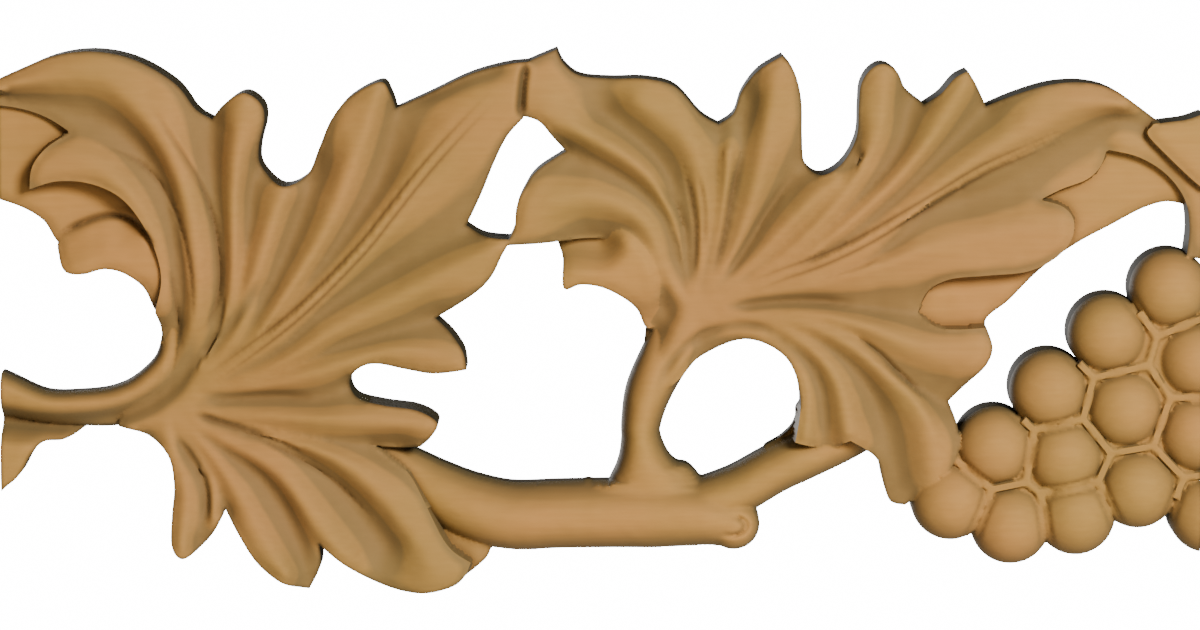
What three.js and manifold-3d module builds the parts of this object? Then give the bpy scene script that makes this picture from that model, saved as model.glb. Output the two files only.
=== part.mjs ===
// Carved grape moulding: one length of openwork vine, with a branch, two leaves and
// a bunch of grapes, carved in relief from a single board and cut square at both ends.
// Millimetres, +Z up. The length runs along X, the carved front looks towards -Y, and
// the flat back lies on Y = 0 with the origin on it, behind the heart of the middle leaf.

import * as THREE from 'three';
import { mergeVertices } from 'three/addons/utils/BufferGeometryUtils.js';
import Module from 'manifold-3d';

// Driving dimensions, in millimetres
const LENGTH = 225;               // cut length of the moulding
const LEAF_HEART_HEIGHT = 10;     // height over the back where a leaf's ribs meet
const LEAF_CREST_HEIGHT = 15;     // height of a leaf along the crests of its ribs
const LEAF_GROOVE_DEPTH = 4.2;    // depth of the creases between the ribs
const EDGE_FALL = 1;              // how far leaves and lobes round down at their edges
const FLANK_FALL = 3.5;           // how far a leaf's base rounds down beside its stem
const UNDER_LOBE_HEIGHT = 12;     // outer edge of the lobes that turn back under a leaf
const FOLD_HEIGHT = 7;            // the same lobes at their folds
const ROOT_FALL = 3;              // how far such a lobe dips at its root
const STRIP_HEIGHT = 9;           // plain strips that lie under the leaves
const SIDE_LOBE_HEIGHT = 10;      // lobe that runs on at the left end
const NEXT_LEAF_HEIGHT = 14;      // leaf that runs on at the right end
const LIMB_SHOULDER_HEIGHT = 4.5; // where the round top of a stem meets its sides
const BRANCH_HEIGHT = 13.5;       // crest of the main branch
const FORK_HEIGHT = 12;           // crest of the branch's thinner fork
const STEM_HEIGHT = 11.5;         // crest of the stem that carries the middle leaf
const TENDRIL_HEIGHT = 9.5;       // crest of the stem at the left end
const TIP_HEIGHT = 8.5;           // turned tip of the left leaf's lowest lobe
const WEB_HEIGHT = 5;             // web in the corner between leaf and fork
const KNOT_HEIGHT = 12.5;         // knob at the branch's cut-off end
const GRAPE_DIAMETER = 15;        // each grape
const GRAPE_CENTRE_HEIGHT = 9;    // centre of each grape over the back
const GRAPE_BED_HEIGHT = 12;      // flat bed between the grapes

// The drawing: x runs right and y down, and the cut length is DRAWING_LENGTH units
const DRAWING_LENGTH = 1200;
const UNIT = LENGTH / DRAWING_LENGTH;
const ORIGIN = { x: 690, y: 300 };

// Shape of the relief, in drawing units unless a name says otherwise
const HEART_REACH = 190;      // distance over which a leaf climbs from heart to crest
const HEART_FADE = 34;        // distance from the heart over which the creases deepen
const EDGE_WIDTH = 10;        // width of the rounded edge of a leaf or lobe
const FLANK_WIDTH = 32;       // width of the rounded flank beside a leaf's stem
const FOLD_REACH = 55;        // distance over which a turned lobe rises from its fold
const ROOT_REACH = 60;        // distance over which it dips towards its root
const GROOVE_STEEPNESS = 0.6; // most depth of a crease for its distance to the crest
const LEAF_CELL = 16.5;       // facet size on the leaves
const LOBE_CELL = 22;         // facet size on the smaller lobes and strips
const SNAP_SHARE = 0.34;      // share of a facet that a corner may move to meet a rib
const OUTLINE_STEPS = 2;      // facets for each point of an outline
const LINE_STEPS = 4;         // pieces for each point of a rib's line
const LIMB_SIDES = 12;
const LIMB_STEPS = 2;         // facets along a stem for each point of its line
const GRAPE_SIDES = 14;
const GRAPE_RINGS = 8;
const MARGIN = 10;            // millimetres that a raw solid runs past the finished cut
const TINY = 1e-9;

const wood = new THREE.MeshStandardMaterial({ color: 0xb98a58, roughness: 0.6, metalness: 0 });

// The leaves. An outline starts at a point and runs from corner to corner, one run of a
// smooth curve each, clockwise. Ribs fan out from the heart, crest and crease in turn.
// The flank is the edge where the leaf's base rounds down into its stem, and stemSide is
// the way from the heart to the stem.
const LEFT_LEAF = {
  heart: [165, 408],
  stemSide: [-1, 0.1],
  flank: [[162, 328], [158, 350], [145, 372], [118, 400], [100, 410]],
  start: [214, 118],
  runs: [
    [[226, 103], [246, 91], [263, 101], [267, 118], [261, 145], [263, 165], [284, 184],
      [308, 174], [320, 148], [333, 118], [352, 95], [382, 80], [392, 92], [397, 107]],
    [[430, 92], [470, 73], [505, 63], [530, 60]],
    [[528, 88], [524, 116]],
    [[508, 134], [495, 160], [482, 192], [467, 224]],
    [[485, 234], [512, 237]],
    [[503, 252], [492, 274], [474, 292], [436, 317]],
    [[452, 332], [464, 350], [467, 367]],
    [[435, 371], [408, 367], [376, 361], [358, 367], [350, 381], [358, 396], [385, 403],
      [418, 408], [438, 420], [432, 434], [421, 445]],
    [[398, 447], [372, 444]],
    [[394, 460], [409, 472], [420, 490], [440, 531], [453, 549], [471, 561]],
    [[464, 576], [450, 586], [420, 592], [385, 585], [350, 567], [320, 543]],
    [[320, 566], [309, 589]],
    [[283, 582], [258, 562], [240, 535], [225, 508]],
    [[216, 528], [202, 545], [183, 558], [172, 545], [172, 515], [174, 485], [168, 456],
      [148, 436], [118, 427]],
    [[120, 398], [136, 384], [151, 366], [160, 346], [161, 328], [156, 311]],
    [[163, 280], [158, 250], [143, 218], [122, 194], [92, 181], [60, 179], [33, 187]],
    [[36, 165], [50, 146], [73, 131]],
    [[48, 116], [20, 107], [-20, 102]],
    [[-20, 88]],
    [[20, 70], [60, 54], [100, 50], [140, 59], [178, 82], [198, 108], [214, 118]],
  ],
  ribs: [
    { crest: true, line: [[160, 330], [156, 265], [132, 200], [95, 165], [45, 165]] },
    { crest: false, line: [[178, 325], [180, 270], [166, 190], [128, 135], [80, 112], [0, 96]] },
    { crest: true, line: [[192, 330], [198, 270], [184, 180], [150, 115], [95, 72], [-10, 88]] },
    { crest: false, line: [[204, 338], [221, 300], [220, 235], [204, 180], [168, 122]] },
    { crest: true, line: [[212, 335], [226, 285], [222, 220], [208, 150], [202, 128]] },
    { crest: false, line: [[214, 340], [230, 285], [226, 215], [216, 160], [213, 126]] },
    { crest: true, line: [[219, 340], [234, 280], [236, 200], [240, 150], [246, 98]] },
    { crest: false, line: [[225, 340], [243, 275], [251, 220], [253, 190], [262, 165]] },
    { crest: true, line: [[232, 340], [256, 275], [274, 220], [286, 188]] },
    { crest: false, line: [[238, 345], [268, 295], [290, 245], [308, 195], [318, 162]] },
    { crest: true, line: [[246, 348], [290, 290], [330, 222], [358, 150], [378, 90]] },
    { crest: false, line: [[252, 350], [310, 290], [352, 235], [385, 175], [400, 112]] },
    { crest: true, line: [[258, 348], [330, 285], [390, 215], [440, 150], [525, 85]] },
    { crest: false, line: [[268, 358], [330, 305], [385, 268], [430, 244], [468, 228]] },
    { crest: true, line: [[272, 365], [340, 325], [410, 290], [460, 265], [505, 243]] },
    { crest: false, line: [[275, 372], [340, 345], [400, 328], [436, 317]] },
    { crest: true, line: [[275, 380], [340, 362], [400, 348], [462, 360]] },
    { crest: false, line: [[215, 402], [270, 398], [320, 397], [350, 386]] },
    { crest: true, line: [[230, 413], [300, 415], [360, 418], [432, 421]] },
    { crest: false, line: [[230, 422], [290, 431], [345, 441], [400, 446]] },
    { crest: true, line: [[245, 428], [330, 452], [380, 490], [412, 530], [435, 572]] },
    { crest: false, line: [[235, 431], [280, 441], [320, 470], [355, 506], [385, 545]] },
    { crest: true, line: [[225, 440], [278, 470], [310, 510], [338, 552]] },
    { crest: false, line: [[218, 445], [258, 475], [284, 510], [299, 545], [308, 578]] },
    { crest: true, line: [[206, 448], [236, 490], [260, 535], [285, 572]] },
    { crest: false, line: [[197, 450], [215, 478], [224, 505]] },
    { crest: true, line: [[192, 452], [210, 484], [213, 518]] },
    { crest: false, line: [[184, 450], [202, 480], [206, 506], [199, 538]] },
    { crest: true, line: [[172, 455], [185, 490], [184, 520], [181, 550]] },
  ],
};

const MIDDLE_LEAF = {
  heart: [690, 312],
  stemSide: [-0.5, 0.87],
  flank: [[647, 335], [644, 350], [636, 368]],
  start: [718, 123],
  runs: [
    [[733, 112], [741, 90], [757, 69], [781, 54]],
    [[793, 70], [800, 98], [801, 135], [804, 162], [820, 173], [841, 161], [855, 135],
      [857, 105], [859, 83], [868, 68], [881, 62], [895, 70], [904, 88], [922, 103]],
    [[938, 92], [952, 76], [965, 69]],
    [[974, 84], [984, 105]],
    [[1015, 92], [1050, 82], [1085, 81], [1115, 91], [1157, 121], [1180, 138], [1225, 172]],
    [[1225, 260]],
    [[1184, 255]],
    [[1187, 225], [1182, 197], [1163, 172], [1135, 155], [1104, 148]],
    [[1098, 165], [1084, 178], [1060, 187], [1038, 198]],
    [[1060, 204], [1071, 218], [1068, 238], [1052, 256], [1025, 269], [985, 273],
      [948, 277], [926, 290], [917, 312]],
    [[940, 326], [985, 325]],
    [[991, 345], [984, 363], [966, 381], [948, 400]],
    [[957, 425], [957, 450], [940, 478], [905, 504]],
    [[890, 500], [883, 480], [878, 460], [866, 448], [850, 438]],
    [[825, 446], [795, 440]],
    [[800, 395], [785, 355], [745, 338], [700, 357], [680, 378], [660, 390], [640, 362]],
    [[644, 346], [646, 328]],
    [[654, 298], [645, 265], [625, 242], [590, 237], [545, 241], [507, 243]],
    [[515, 225], [517, 205], [524, 188], [537, 169], [566, 150]],
    [[553, 135], [539, 119], [518, 113]],
    [[520, 85], [524, 62]],
    [[540, 55], [557, 48]],
    [[564, 62], [580, 74], [610, 77], [645, 77], [675, 85], [700, 112], [718, 123]],
  ],
  ribs: [
    { crest: false, line: [[652, 285], [648, 262], [628, 242], [590, 238]] },
    { crest: true, line: [[664, 268], [642, 218], [590, 195], [528, 208]] },
    { crest: false, line: [[680, 262], [664, 215], [628, 180], [566, 150]] },
    { crest: true, line: [[685, 262], [670, 205], [630, 158], [548, 112]] },
    { crest: false, line: [[692, 262], [682, 215], [660, 160], [605, 112]] },
    { crest: true, line: [[700, 258], [704, 200], [688, 140], [640, 98]] },
    { crest: false, line: [[708, 262], [716, 205], [719, 130]] },
    { crest: true, line: [[714, 262], [723, 215], [727, 150]] },
    { crest: false, line: [[720, 262], [731, 210], [740, 150], [746, 98]] },
    { crest: true, line: [[728, 260], [756, 180], [776, 72]] },
    { crest: false, line: [[738, 262], [768, 212], [800, 166]] },
    { crest: true, line: [[750, 262], [798, 212], [835, 180]] },
    { crest: false, line: [[760, 264], [812, 212], [858, 155]] },
    { crest: true, line: [[770, 264], [840, 195], [874, 130], [880, 72]] },
    { crest: false, line: [[776, 266], [850, 205], [896, 148], [908, 100]] },
    { crest: true, line: [[784, 268], [868, 202], [925, 140], [962, 76]] },
    { crest: false, line: [[790, 270], [880, 207], [940, 150], [982, 108]] },
    { crest: true, line: [[800, 272], [890, 222], [970, 160], [1060, 105], [1120, 102]] },
    { crest: false, line: [[860, 262], [930, 210], [1010, 182], [1080, 140], [1125, 118],
      [1200, 160]] },
    { crest: true, line: [[850, 270], [930, 245], [1000, 232], [1058, 226]] },
    { crest: false, line: [[780, 298], [850, 304], [915, 310]] },
    { crest: true, line: [[790, 312], [860, 322], [920, 345], [972, 352]] },
    { crest: false, line: [[800, 315], [855, 333], [900, 371], [948, 405]] },
    { crest: true, line: [[790, 320], [850, 342], [895, 380], [924, 414], [934, 470]] },
    { crest: false, line: [[780, 322], [828, 345], [862, 378], [884, 425], [894, 485]] },
    { crest: true, line: [[770, 325], [812, 348], [836, 380], [848, 432]] },
    { crest: false, line: [[762, 328], [800, 352], [820, 385], [826, 440]] },
    { crest: true, line: [[755, 332], [787, 354], [804, 390], [802, 436]] },
  ],
};

// Plain strips and lobes, each a closed smooth outline with one height. A lobe that turns
// back under a leaf is lowest along its fold, and it may dip at its root by the stem.
const PLAIN_PARTS = [
  { // lobe turned back under the left leaf
    height: UNDER_LOBE_HEIGHT,
    fold: [[58, 240], [78, 226], [110, 216], [145, 225]],
    outline: [[62, 236], [60, 255], [67, 271], [85, 273], [105, 268], [125, 272], [145, 287],
      [156, 311], [174, 312], [178, 260], [140, 212], [100, 214]],
  },
  { // lobe turned back under the middle leaf
    height: UNDER_LOBE_HEIGHT,
    fold: [[560, 240], [595, 240], [622, 245], [642, 268]],
    root: [652, 322],
    outline: [[560, 228], [563, 258], [564, 287], [581, 283], [602, 286], [622, 296],
      [637, 309], [646, 328], [664, 326], [660, 262], [622, 228]],
  },
  { // strip under the left leaf's curl
    height: STRIP_HEIGHT,
    outline: [[-20, 90], [110, 120], [170, 190], [170, 240], [125, 214], [98, 218], [78, 228],
      [60, 242], [45, 221], [25, 208], [0, 199], [-20, 193]],
  },
  { // strip between the middle leaf and the grapes
    height: STRIP_HEIGHT,
    outline: [[1200, 165], [1195, 208], [1180, 203], [1163, 201], [1140, 208], [1110, 224],
      [1075, 243], [1038, 270], [1008, 300], [985, 320], [990, 345], [950, 350], [900, 320],
      [930, 250], [1040, 180], [1100, 130], [1160, 140]],
  },
  { // lobe at the left end, under the stem
    height: SIDE_LOBE_HEIGHT,
    outline: [[-20, 415], [88, 418], [80, 431], [62, 441], [42, 443], [30, 455], [20, 473],
      [8, 485], [-20, 500]],
  },
  { // leaf that runs on at the right end
    height: NEXT_LEAF_HEIGHT,
    outline: [[1148, 124], [1157, 121], [1180, 118], [1225, 113], [1225, 200], [1150, 140]],
  },
  { // tip of the left leaf's lowest lobe, which turns back under it
    height: TIP_HEIGHT,
    outline: [[438, 530], [462, 535], [482, 539], [490, 548], [487, 558], [478, 567],
      [464, 577], [446, 577]],
  },
  { // web in the corner between the middle leaf and the fork
    height: WEB_HEIGHT,
    outline: [[808, 402], [797, 409], [796, 420], [791, 430], [780, 440], [764, 451],
      [785, 458], [815, 445]],
  },
];

// Stems: centre line, half width at each of its points, and the crest's height there as a
// share of the stem's height
const LIMBS = [
  { // main branch, which comes out from under the left leaf
    height: BRANCH_HEIGHT,
    line: [[375, 457], [405, 477], [435, 494], [470, 510], [510, 519], [560, 518], [610, 517],
      [660, 517], [705, 518], [735, 524]],
    halfWidths: [22, 27, 30, 33, 34, 34, 34, 34, 31, 27],
    shares: [0.7, 0.75, 0.85, 0.95, 1, 1, 1, 1, 1, 0.9],
  },
  { // fork that rises behind the middle leaf
    height: FORK_HEIGHT,
    line: [[690, 514], [737, 494], [774, 473], [808, 457], [845, 440], [872, 426]],
    halfWidths: [28, 25, 24, 24, 23, 21],
    shares: [1, 1, 1, 1, 0.9, 0.85],
  },
  { // stem of the middle leaf
    height: STEM_HEIGHT,
    line: [[647, 497], [647, 488], [647, 480], [645, 471], [643, 458], [641, 440], [641, 425],
      [648, 395], [664, 362], [685, 330]],
    halfWidths: [94, 70, 49, 34, 25, 20, 20, 23, 25, 29],
    shares: [1, 1, 1, 1, 1, 1, 1, 1, 0.85, 0.55],
  },
  { // stem at the left end, up into the left leaf
    height: TENDRIL_HEIGHT,
    line: [[-30, 385], [0, 396], [40, 409], [80, 411], [116, 408], [147, 395], [173, 364],
      [181, 322]],
    halfWidths: [22, 21, 17, 18, 20, 22, 20, 18],
    shares: [1, 1, 1, 1, 1, 1, 1, 0.9],
  },
];

const KNOT = { centre: [734, 525], radius: 26 };

// The bunch: centres of the grapes, and the bed that they sit in, drawn through the
// centres of the outer ones
const GRAPE_CENTRES = [
  [1168, 288], [1107, 333], [1196, 358], [1049, 389], [1124, 407], [1197, 432], [995, 446],
  [1064, 456], [1138, 488], [951, 500], [1011, 524], [1076, 515], [1209, 513],
];
const GRAPE_BED = [
  [952, 497], [998, 444], [1050, 388], [1106, 333], [1168, 287], [1225, 250], [1225, 515],
  [1140, 483], [1078, 508], [1012, 520],
];

// Drawing point to the millimetres of the model's plan
function plan([x, y]) {
  return new THREE.Vector2((x - ORIGIN.x) * UNIT, (ORIGIN.y - y) * UNIT);
}

// Outline made of smooth runs from corner to corner
function cornerOutline({ start, runs }) {
  const shape = new THREE.Shape();
  const first = plan(start);
  shape.moveTo(first.x, first.y);
  for (const run of runs) {
    if (run.length === 1) {
      const end = plan(run[0]);
      shape.lineTo(end.x, end.y);
    } else {
      shape.splineThru(run.map(plan));
    }
  }
  return shape;
}

// Closed outline with one smooth curve all round
function smoothOutline(points) {
  const closed = points.map(([x, y]) => {
    const { x: px, y: py } = plan([x, y]);
    return new THREE.Vector3(px, py, 0);
  });
  const curve = new THREE.CatmullRomCurve3(closed, true);
  return new THREE.Shape(curve.getPoints(points.length * OUTLINE_STEPS).slice(0, -1));
}

// Points of a smooth line through drawing points
function smoothLine(points) {
  return new THREE.SplineCurve(points.map(plan)).getPoints(points.length * LINE_STEPS);
}

// Distance from a point to a line of points, and the place on the line that is nearest
function distanceToLine(point, line, closed = false) {
  let nearest = Infinity;
  let x = 0;
  let y = 0;
  const last = closed ? line.length : line.length - 1;
  for (let i = 0; i < last; i += 1) {
    const a = line[i];
    const b = line[(i + 1) % line.length];
    const spanX = b.x - a.x;
    const spanY = b.y - a.y;
    const length = Math.max(spanX * spanX + spanY * spanY, TINY);
    const along = ((point.x - a.x) * spanX + (point.y - a.y) * spanY) / length;
    const share = THREE.MathUtils.clamp(along, 0, 1);
    const gap = Math.hypot(point.x - a.x - spanX * share, point.y - a.y - spanY * share);
    if (gap < nearest) {
      nearest = gap;
      x = a.x + spanX * share;
      y = a.y + spanY * share;
    }
  }
  return { gap: nearest, x, y };
}

// Closed mesh to solid and back
const wasm = await Module();
wasm.setup();

function toSolid(geometry) {
  geometry.deleteAttribute('normal');
  geometry.deleteAttribute('uv');
  const merged = mergeVertices(geometry);
  return new wasm.Manifold(new wasm.Mesh({
    numProp: 3,
    vertProperties: merged.attributes.position.array,
    triVerts: new Uint32Array(merged.index.array),
  }));
}

function toGeometry(solid) {
  const mesh = solid.getMesh();
  const geometry = new THREE.BufferGeometry();
  geometry.setAttribute('position', new THREE.Float32BufferAttribute(mesh.vertProperties, 3));
  geometry.setIndex(new THREE.Uint32BufferAttribute(mesh.triVerts, 1));
  return geometry;
}

// A board over the outline whose top follows the relief, cut to the outline. Corners of
// its facets that lie near a rib move onto it, and each pair of facets folds along the
// diagonal that lies closer to the relief, so that crests and creases stay crisp.
function carvedSolid(shape, relief, cell, ribs = []) {
  const contour = shape.getPoints(OUTLINE_STEPS);
  const box = new THREE.Box2().setFromPoints(contour);
  const size = box.getSize(new THREE.Vector2()).addScalar(2 * cell);
  const middle = box.getCenter(new THREE.Vector2());
  const columns = Math.ceil(size.x / cell);
  const rows = Math.ceil(size.y / cell);
  const board = new THREE.BoxGeometry(size.x, size.y, 1, columns, rows, 1);
  board.translate(middle.x, middle.y, 0);
  const corners = board.attributes.position;
  const point = new THREE.Vector2();
  for (let i = 0; i < corners.count; i += 1) {
    point.set(corners.getX(i), corners.getY(i));
    if (corners.getZ(i) < 0) {
      corners.setZ(i, -MARGIN);
    } else {
      let reach = SNAP_SHARE * cell;
      for (const rib of ribs) {
        const foot = distanceToLine(point, rib.points);
        if (foot.gap < reach) {
          reach = foot.gap;
          corners.setXY(i, foot.x, foot.y);
        }
      }
      point.set(corners.getX(i), corners.getY(i));
      corners.setZ(i, relief(point, contour));
    }
  }
  foldAlongRelief(board, (at) => relief(at, contour));
  const cutter = new THREE.ExtrudeGeometry(shape, {
    depth: 4 * MARGIN,
    bevelEnabled: false,
    curveSegments: OUTLINE_STEPS,
  });
  cutter.translate(0, 0, -MARGIN / 2);
  return toSolid(board).intersect(toSolid(cutter));
}

// Each square of a box's face is two facets, a b d and b c d, that share the diagonal b d.
// On the top face the other diagonal, a c, is taken where it fits the relief better.
function foldAlongRelief(board, reliefAt) {
  const corners = board.attributes.position;
  const { array } = board.index;
  const middle = new THREE.Vector2();
  for (let i = 0; i < array.length; i += 6) {
    const [a, b, d] = array.slice(i, i + 3);
    const c = array[i + 4];
    const heights = [a, b, c, d].map((corner) => corners.getZ(corner));
    if (Math.min(...heights) > 0) {
      middle.set(
        (corners.getX(a) + corners.getX(b) + corners.getX(c) + corners.getX(d)) / 4,
        (corners.getY(a) + corners.getY(b) + corners.getY(c) + corners.getY(d)) / 4,
      );
      const wanted = reliefAt(middle);
      const missAC = Math.abs((heights[0] + heights[2]) / 2 - wanted);
      const missBD = Math.abs((heights[1] + heights[3]) / 2 - wanted);
      if (missAC < missBD) {
        array.set([a, b, c, a, c, d], i);
      }
    }
  }
}

// How far a surface has rounded down, a given distance in from an edge
function roundedFall(gap, width, fall) {
  const share = Math.min(gap / (width * UNIT), 1);
  return fall * (1 - share) ** 2;
}

function edgeFall(point, contour) {
  return roundedFall(distanceToLine(point, contour, true).gap, EDGE_WIDTH, EDGE_FALL);
}

// Leaf: it climbs from its heart to the crests, and creases sink between them
function leafSolid(leaf) {
  const heart = plan(leaf.heart);
  const stemSide = new THREE.Vector2(leaf.stemSide[0], -leaf.stemSide[1]).normalize();
  const flank = smoothLine(leaf.flank);
  const ribs = leaf.ribs.map(({ crest, line }) => ({
    crest,
    points: smoothLine([leaf.heart, ...line]),
  }));
  const relief = (point, contour) => {
    const feet = ribs.map((rib) => distanceToLine(point, rib.points));
    const gaps = feet.map((foot) => foot.gap);
    const nearest = gaps.indexOf(Math.min(...gaps));
    const before = gaps[nearest - 1] ?? Infinity;
    const after = gaps[nearest + 1] ?? Infinity;
    const beside = before < after ? nearest - 1 : nearest + 1;
    const [crest, crease] = ribs[nearest].crest ? [nearest, beside] : [beside, nearest];
    const spread = gaps[crest] + gaps[crease];
    const share = spread > 0 ? gaps[crest] / spread : 0;
    const fade = THREE.MathUtils.smoothstep(heart.distanceTo(feet[crease]), 0, HEART_FADE * UNIT);
    const depth = fade * Math.min(LEAF_GROOVE_DEPTH, GROOVE_STEEPNESS * spread);
    const away = new THREE.Vector2().subVectors(point, heart);
    const behind = Math.max(away.dot(stemSide), 0);
    const reach = Math.sqrt(Math.max(away.lengthSq() - behind ** 2, 0));
    const climb = THREE.MathUtils.smoothstep(reach, 0, HEART_REACH * UNIT);
    const crestHeight = THREE.MathUtils.lerp(LEAF_HEART_HEIGHT, LEAF_CREST_HEIGHT, climb);
    const fall = roundedFall(distanceToLine(point, flank).gap, FLANK_WIDTH, FLANK_FALL);
    const sunk = depth * THREE.MathUtils.smoothstep(share, 0, 1);
    return crestHeight - sunk - fall - edgeFall(point, contour);
  };
  return carvedSolid(cornerOutline(leaf), relief, LEAF_CELL * UNIT, ribs);
}

function plainSolid({ height, outline, fold, root }) {
  const foldLine = fold && smoothLine(fold);
  const relief = (point, contour) => {
    let level = height;
    if (foldLine) {
      const { gap } = distanceToLine(point, foldLine);
      const rise = THREE.MathUtils.smoothstep(gap, 0, FOLD_REACH * UNIT);
      level = THREE.MathUtils.lerp(FOLD_HEIGHT, height, rise);
    }
    if (root) {
      level -= roundedFall(point.distanceTo(plan(root)), ROOT_REACH, ROOT_FALL);
    }
    return level - edgeFall(point, contour);
  };
  return carvedSolid(smoothOutline(outline), relief, LOBE_CELL * UNIT);
}

// Stem: a round top on straight sides, of changing width, along a smooth line
function limbSolid({ height, line, halfWidths, shares }) {
  const path = new THREE.SplineCurve(line.map(plan));
  const sizes = new THREE.SplineCurve(
    halfWidths.map((half, i) => new THREE.Vector2(half * UNIT, shares[i] * height)),
  );
  const steps = line.length * LIMB_STEPS;
  const rod = new THREE.CylinderGeometry(1, 1, 1, LIMB_SIDES, steps);
  const corners = rod.attributes.position;
  for (let i = 0; i < corners.count; i += 1) {
    const along = corners.getY(i) + 0.5;
    const across = corners.getX(i);
    const up = corners.getZ(i);
    const place = path.getPoint(along);
    const heading = path.getTangent(along);
    const { x: halfWidth, y: crest } = sizes.getPoint(along);
    const half = halfWidth * across;
    const rise = THREE.MathUtils.lerp(LIMB_SHOULDER_HEIGHT, crest, up);
    const onTop = up > -TINY;
    corners.setXYZ(
      i,
      place.x + heading.y * half,
      place.y - heading.x * half,
      onTop ? rise : -MARGIN,
    );
  }
  return toSolid(rod);
}

// Round knob or grape: a ball above its centre, drawn out to the back below it
function knobSolid(centre, radius, centreHeight) {
  const ball = new THREE.SphereGeometry(radius, GRAPE_SIDES, GRAPE_RINGS);
  ball.rotateX(Math.PI / 2);
  const corners = ball.attributes.position;
  const { x, y } = plan(centre);
  const stretch = 2 * centreHeight / radius;
  for (let i = 0; i < corners.count; i += 1) {
    const z = corners.getZ(i);
    corners.setXYZ(
      i,
      x + corners.getX(i),
      y + corners.getY(i),
      centreHeight + (z < 0 ? z * stretch : z),
    );
  }
  return toSolid(ball);
}

function bunchSolids() {
  const bed = new THREE.ExtrudeGeometry(new THREE.Shape(GRAPE_BED.map(plan)), {
    depth: GRAPE_BED_HEIGHT + MARGIN,
    bevelEnabled: false,
  });
  bed.translate(0, 0, -MARGIN);
  const grapes = GRAPE_CENTRES.map(
    (centre) => knobSolid(centre, GRAPE_DIAMETER / 2, GRAPE_CENTRE_HEIGHT),
  );
  return [toSolid(bed), ...grapes];
}

// The board that everything is carved from: square ends and a flat back
function boardSolid() {
  const board = new THREE.BoxGeometry(LENGTH, LENGTH, LENGTH);
  const centre = plan([DRAWING_LENGTH / 2, ORIGIN.y]);
  board.translate(centre.x, centre.y, LENGTH / 2);
  return toSolid(board);
}

function mouldingSolid() {
  const knotRadius = KNOT.radius * UNIT;
  const parts = [
    leafSolid(LEFT_LEAF),
    leafSolid(MIDDLE_LEAF),
    ...PLAIN_PARTS.map(plainSolid),
    ...LIMBS.map(limbSolid),
    knobSolid(KNOT.centre, knotRadius, KNOT_HEIGHT - knotRadius),
    ...bunchSolids(),
  ];
  const joined = parts.reduce((whole, part) => whole.add(part));
  return joined.intersect(boardSolid());
}

const moulding = new THREE.Mesh(toGeometry(mouldingSolid()), wood);
moulding.name = 'grape_moulding';
moulding.rotation.x = Math.PI / 2;

const part = new THREE.Group();
part.add(moulding);

export default part;
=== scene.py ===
"""Carved grape moulding: its carved surface, worked out from a drawing of the relief.

The drawing's x runs right and y runs down, in units of the moulding's cut length. Heights
are millimetres over the flat back. Every form of the carving has an outline in the drawing
and a height over each point inside it, and the surface is the highest form at each point.
"""

import math

import bpy
import numpy as np
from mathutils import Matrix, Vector, geometry, kdtree


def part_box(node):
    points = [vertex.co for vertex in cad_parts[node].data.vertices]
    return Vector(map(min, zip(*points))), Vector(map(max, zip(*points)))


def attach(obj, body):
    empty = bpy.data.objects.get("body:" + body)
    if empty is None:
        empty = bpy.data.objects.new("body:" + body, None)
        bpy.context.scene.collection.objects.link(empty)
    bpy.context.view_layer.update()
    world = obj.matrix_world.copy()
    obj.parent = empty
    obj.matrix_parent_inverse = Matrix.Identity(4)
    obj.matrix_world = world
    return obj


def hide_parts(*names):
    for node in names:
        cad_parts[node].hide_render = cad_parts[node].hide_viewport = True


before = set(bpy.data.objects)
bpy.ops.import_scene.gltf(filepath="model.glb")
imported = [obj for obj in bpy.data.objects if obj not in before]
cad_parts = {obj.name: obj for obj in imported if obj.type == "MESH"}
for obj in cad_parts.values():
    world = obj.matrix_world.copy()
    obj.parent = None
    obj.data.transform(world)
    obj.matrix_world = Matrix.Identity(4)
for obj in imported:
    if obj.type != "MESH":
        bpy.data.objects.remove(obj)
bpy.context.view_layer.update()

NODE = "grape_moulding"

# The drawing's scale, from the frame
DRAWING_LENGTH = 1200
DRAWING_HEIGHT = 630
ORIGIN = np.array([690.0, 300.0])
node_low, node_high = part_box(NODE)
UNIT = (node_high.x - node_low.x) / DRAWING_LENGTH      # metres for each drawing unit
MILLIMETRE = 0.001
UNIT_MM = UNIT / MILLIMETRE

# Heights over the back, in millimetres
LEAF_HEART_HEIGHT = 10.0
LEAF_CREST_HEIGHT = 15.0
LEAF_GROOVE_DEPTH = 4.2
EDGE_FALL = 1.0
FLANK_FALL = 3.5
UNDER_LOBE_HEIGHT = 12.0
FOLD_HEIGHT = 7.0
ROOT_FALL = 5.5              # how far a turned lobe dips to meet the leaf's stem
STRIP_HEIGHT = 9.0
SIDE_LOBE_HEIGHT = 10.0
NEXT_LEAF_HEIGHT = 14.0
SHOULDER_HEIGHT = 4.5
BRANCH_HEIGHT = 13.5
FORK_HEIGHT = 12.0
STEM_HEIGHT = 11.5
TENDRIL_HEIGHT = 9.5
TIP_HEIGHT = 8.5
WEB_HEIGHT = 5.0
KNOT_HEIGHT = 12.5
GRAPE_CENTRE_HEIGHT = 9.0
GRAPE_RIDGE_HEIGHT = 12.9

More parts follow.
